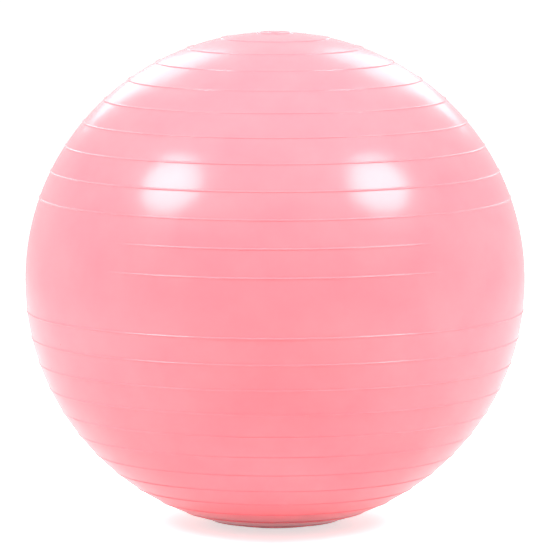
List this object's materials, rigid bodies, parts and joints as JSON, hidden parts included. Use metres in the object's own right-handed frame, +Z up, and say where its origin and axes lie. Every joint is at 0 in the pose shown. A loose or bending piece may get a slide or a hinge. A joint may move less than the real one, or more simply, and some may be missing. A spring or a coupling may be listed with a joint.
{
  "type": "exercise ball",
  "caption": "Large hollow inflated ball with moulded grip ribs round it, a smooth band at its middle, a flat resting patch below and a push-in air stopper.",
  "frame": {"origin": "middle of the flat patch the ball stands on, at floor height", "axes": "+Z up through the pole; the print side, with its two short ribs over the blank band, faces -Y; the air stopper faces +Y"},
  "size_m": [0.65, 0.65, 0.6447],
  "materials": {
    "pvc_skin": "glossy soft PVC",
    "pvc_insert": "satin soft PVC",
    "white_plastic": "satin"
  },
  "bodies": {
    "ball": {"ball_shell": "pvc_skin", "valve_seat": "pvc_insert"},
    "plug": {"stopper_plug": "white_plastic"}
  },
  "joints": [
    {"name": "stopper_pull", "type": "slide", "parent": "ball", "child": "plug", "axis": [0, 1, 0], "range_m": [0, 0.026]}
  ]
}
